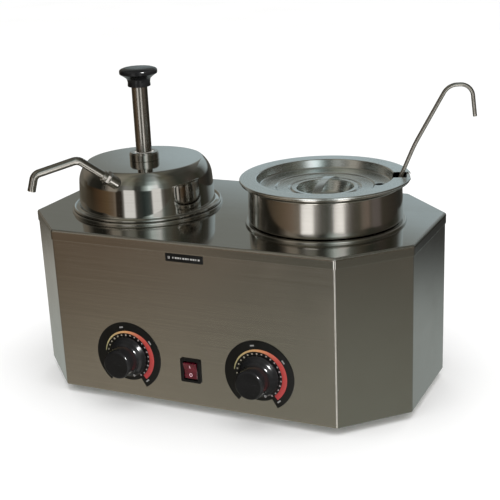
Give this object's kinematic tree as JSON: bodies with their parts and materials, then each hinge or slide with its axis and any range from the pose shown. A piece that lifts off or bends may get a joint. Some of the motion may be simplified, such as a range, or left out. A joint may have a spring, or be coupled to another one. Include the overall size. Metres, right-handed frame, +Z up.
{
  "type": "nacho cheese dispenser",
  "caption": "Twin-well stainless countertop cheese warmer: domed pump lid with spout on one well, inset pot with notched lid and ladle in the other, dials and rocker switch.",
  "frame": {"origin": "centre of the footprint, on the counter plane under the feet", "axes": "+X to the user's right along the long side, +Y to the back, +Z up; the dials face -Y"},
  "size_m": [0.4952, 0.2809, 0.3615],
  "materials": {
    "cabinet_steel": "brushed stainless sheet, horizontal grain",
    "deck_steel": "brushed stainless sheet",
    "well_steel": "spun stainless, satin",
    "dome_steel": "spun stainless, polished",
    "pot_steel": "spun stainless, satin wall",
    "lid_steel": "pressed stainless, satin",
    "tube_steel": "drawn stainless tube and wire, polished",
    "fitting_steel": "turned fittings, bright",
    "knob_black": "moulded phenolic, gloss black",
    "dial_face": "printed dial plate with tick marks and heat band",
    "switch_black": "moulded nylon",
    "switch_red": "translucent red rocker",
    "label_black": "plain printed plate, no lettering",
    "foot_rubber": "moulded rubber",
    "base_zinc": "galvanised sheet",
    "screw_zinc": "zinc-plated",
    "element_alloy": "element in aluminium sheath",
    "thermostat_body": "ceramic-filled moulding",
    "copper_bulb": "copper bulb and capillary",
    "wire_insulation": "silicone-insulated wire",
    "acetal_white": "acetal",
    "seal_rubber": "food-grade seal"
  },
  "bodies": {
    "cabinet": {"base_plate": "base_zinc", "base_screws": "screw_zinc", "body_shell": "cabinet_steel", "cord_gland": "switch_black", "dial_plate_left": "dial_face", "dial_plate_right": "dial_face", "foot_screws": "screw_zinc", "gland_nut": "switch_black", "heater_clamp_left": "base_zinc", "heater_clamp_right": "base_zinc", "heater_left": "element_alloy", "heater_right": "element_alloy", "label_plate": "label_black", "rubber_feet": "foot_rubber", "sensor_bulb_left": "copper_bulb", "sensor_bulb_right": "copper_bulb", "switch_housing": "switch_black", "terminal_block": "thermostat_body", "thermostat_left": "thermostat_body", "thermostat_nut_left": "screw_zinc", "thermostat_nut_right": "screw_zinc", "thermostat_right": "thermostat_body", "top_deck": "deck_steel", "well_left": "well_steel", "well_right": "well_steel", "wiring": "wire_insulation"},
    "knob_left": {"dial_knob_left": "knob_black", "control_shaft_left": "screw_zinc"},
    "knob_right": {"dial_knob_right": "knob_black", "control_shaft_right": "screw_zinc"},
    "rocker": {"rocker_lens": "switch_red"},
    "jar": {"food_jar": "pot_steel"},
    "pump_head": {"pump_lid": "dome_steel", "collar_nut": "fitting_steel", "cylinder_nut": "fitting_steel", "pump_cylinder": "tube_steel", "guide_bushing": "acetal_white", "valve_body": "fitting_steel", "inlet_ball": "fitting_steel", "discharge_tube": "tube_steel", "spout_coupling": "fitting_steel", "return_spring": "fitting_steel"},
    "plunger": {"pump_knob": "knob_black", "plunger_shaft": "tube_steel", "piston": "acetal_white", "piston_seal": "seal_rubber"},
    "pot": {"inset_pot": "pot_steel"},
    "lid": {"pot_lid": "lid_steel", "lid_handle": "lid_steel"},
    "ladle": {"ladle_bowl": "tube_steel", "ladle_handle": "tube_steel"}
  },
  "joints": [
    {"name": "thermostat_left_turn", "type": "hinge", "parent": "cabinet", "child": "knob_left", "pos_m": [-0.0805, -0.1357, 0.0572], "axis": [0, 1, 0], "range_deg": [-270, 0]},
    {"name": "thermostat_right_turn", "type": "hinge", "parent": "cabinet", "child": "knob_right", "pos_m": [0.0805, -0.1357, 0.0572], "axis": [0, 1, 0], "range_deg": [-270, 0]},
    {"name": "rocker_tilt", "type": "hinge", "parent": "cabinet", "child": "rocker", "pos_m": [-0.002, -0.1257, 0.051], "axis": [-1, 0, 0], "range_deg": [0, 14]},
    {"name": "jar_lift", "type": "slide", "parent": "cabinet", "child": "jar", "axis": [0, 0, 1], "range_m": [0, 0.22]},
    {"name": "pump_lift", "type": "slide", "parent": "jar", "child": "pump_head", "axis": [0, 0, 1], "range_m": [0, 0.2]},
    {"name": "pump_stroke", "type": "slide", "parent": "pump_head", "child": "plunger", "axis": [0, 0, -1], "range_m": [0, 0.06], "stiffness_N_per_m": 350, "springref_m": -0.03, "deforming": ["return_spring"]},
    {"name": "pot_lift", "type": "slide", "parent": "cabinet", "child": "pot", "axis": [0, 0, 1], "range_m": [0, 0.22]},
    {"name": "lid_lift", "type": "slide", "parent": "pot", "child": "lid", "axis": [0, 0, 1], "range_m": [0, 0.15]},
    {"name": "ladle_draw", "type": "slide", "parent": "pot", "child": "ladle", "axis": [0.3524, 0.1688, 0.9205], "range_m": [0, 0.09]}
  ]
}
